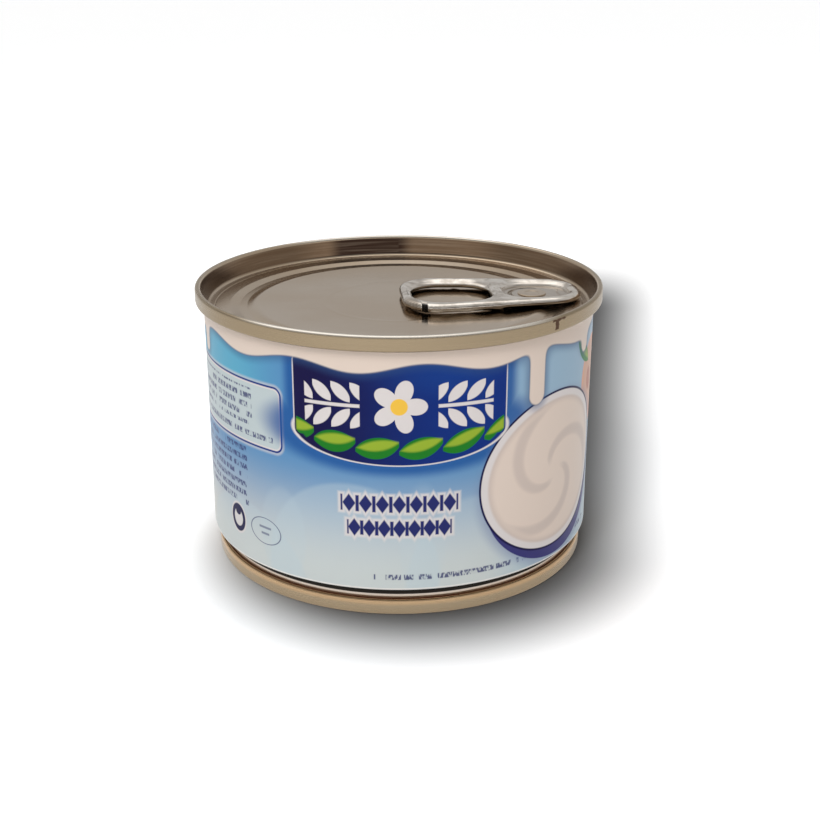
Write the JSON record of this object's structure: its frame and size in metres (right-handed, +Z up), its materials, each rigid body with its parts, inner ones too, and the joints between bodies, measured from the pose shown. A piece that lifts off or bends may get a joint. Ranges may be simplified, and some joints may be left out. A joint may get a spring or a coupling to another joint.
{
  "type": "food can",
  "caption": "Short round steel food can with a double-seamed ring-pull lid, a printed wall and a necked-in stacking foot, shut and full.",
  "frame": {"origin": "centre of the circle that the can stands on", "axes": "+Z up along the can's axis, -Y towards the front of the print, +X towards the side where the ring-pull is riveted"},
  "size_m": [0.0762, 0.0762, 0.0518],
  "materials": {
    "printed_wall": "gloss lithographed tinplate, blues and cream white",
    "lid_tinplate": "satin lacquered tinplate with a slight warm tint",
    "base_tinplate": "satin lacquered tinplate with a slight warm tint",
    "tab_steel": "bright tinned steel, soft reflections"
  },
  "bodies": {
    "root": {"can_body": "printed_wall", "top_end": "lid_tinplate", "bottom_end": "base_tinplate", "pull_tab": "tab_steel"}
  },
  "joints": []
}
